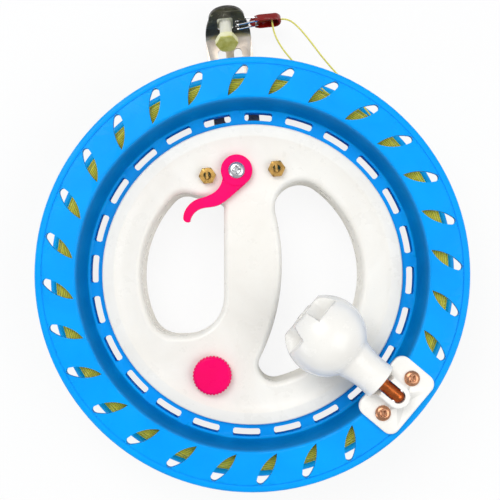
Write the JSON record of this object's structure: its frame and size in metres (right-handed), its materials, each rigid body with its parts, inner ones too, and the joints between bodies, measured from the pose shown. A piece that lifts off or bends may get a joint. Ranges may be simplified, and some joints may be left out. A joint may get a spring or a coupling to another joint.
{
  "type": "kite line winder",
  "caption": "Kite line winder: a ball-bearing wheel of line around a white hand grip, with thumb brake, lock knob, folding winding knob and steel line guide.",
  "frame": {"origin": "the wheel's axis at the flat back face of the hand grip, on which the winder lies", "axes": "+Z along the wheel's axis out of the front face with the winding knob, +Y from the axis towards the steel line guide, +X to the right seen from the front"},
  "size_m": [0.22, 0.2536, 0.0768],
  "materials": {
    "blue_plastic": "glossy moulded",
    "white_plastic": "glossy moulded",
    "pink_plastic": "glossy moulded",
    "inner_plastic": "moulded",
    "nylon": "satin",
    "steel_sheet": "polished",
    "steel_fixings": "satin",
    "hard_steel": "polished",
    "brass": "zinc and brass plated",
    "copper": "copper plated",
    "red_enamel": "anodised red, glossy",
    "pad_rubber": "matt",
    "line": "braided"
  },
  "bodies": {
    "frame": {"frame_front": "white_plastic", "frame_back": "white_plastic", "frame_screws": "steel_fixings", "guide_bracket": "steel_sheet", "guide_bolts": "brass", "guide_nuts": "brass", "guide_post": "nylon", "guide_post_nut": "nylon", "clip_rings": "hard_steel", "line_clip": "red_enamel", "clip_pin": "steel_fixings", "line_strand_left": "line", "line_strand_right": "line"},
    "wheel": {"wheel_front": "blue_plastic", "wheel_back": "blue_plastic", "wheel_screws": "steel_fixings", "line_core": "line", "line_winding": "line", "knob_plate": "white_plastic", "knob_plate_screws": "brass", "knob_hinge_pin": "steel_fixings"},
    "race": {"bearing_balls": "hard_steel", "ball_cage": "inner_plastic"},
    "knob_arm": {"knob_spindle": "copper", "knob_washer": "steel_fixings", "knob_screw": "steel_fixings"},
    "knob": {"winding_knob": "white_plastic"},
    "brake_lever_body": {"brake_lever": "pink_plastic", "brake_lever_screw": "steel_fixings", "brake_crank": "inner_plastic"},
    "brake_shoe_body": {"brake_shoe": "inner_plastic", "brake_pad": "pad_rubber"},
    "lock_knob_body": {"lock_knob": "pink_plastic", "lock_cam": "inner_plastic", "lock_cam_screw": "steel_fixings"},
    "lock_shoe_body": {"lock_shoe": "inner_plastic", "lock_pad": "pad_rubber"}
  },
  "joints": [
    {"name": "wheel_spin", "type": "hinge", "parent": "frame", "child": "wheel", "pos_m": [0, 0, 0.027], "axis": [0, 0, 1], "continuous": true},
    {"name": "race_spin", "type": "hinge", "parent": "frame", "child": "race", "pos_m": [0, 0, 0.027], "axis": [0, 0, 1], "continuous": true},
    {"name": "brake_turn", "type": "hinge", "parent": "frame", "child": "brake_lever_body", "pos_m": [-0.0027, 0.0547, 0.032], "axis": [0, 0, 1], "range_deg": [0, 12]},
    {"name": "brake_press", "type": "slide", "parent": "frame", "child": "brake_shoe_body", "axis": [-0.0493, 0.9988, 0], "range_m": [0, 0.001]},
    {"name": "lock_turn", "type": "hinge", "parent": "frame", "child": "lock_knob_body", "pos_m": [-0.026, -0.0501, 0.032], "axis": [0, 0, 1], "range_deg": [0, 120]},
    {"name": "lock_press", "type": "slide", "parent": "frame", "child": "lock_shoe_body", "axis": [-0.4606, -0.8876, 0], "range_m": [0, 0.001]},
    {"name": "knob_fold", "type": "hinge", "parent": "wheel", "child": "knob_arm", "pos_m": [0.06551, -0.06713, 0.0565], "axis": [0.7157, 0.6984, 0], "range_deg": [0, 90]},
    {"name": "knob_spin", "type": "hinge", "parent": "knob_arm", "child": "knob", "pos_m": [0.03311, -0.03392, 0.0565], "axis": [-0.6984, 0.7157, 0], "continuous": true}
  ],
  "couplings": [
    {"joint": "race_spin", "follows": "wheel_spin", "ratio": 0.51678},
    {"joint": "brake_press", "follows": "brake_turn", "m_per_rad": 0.0047747},
    {"joint": "lock_press", "follows": "lock_turn", "m_per_rad": 0.00047746}
  ]
}
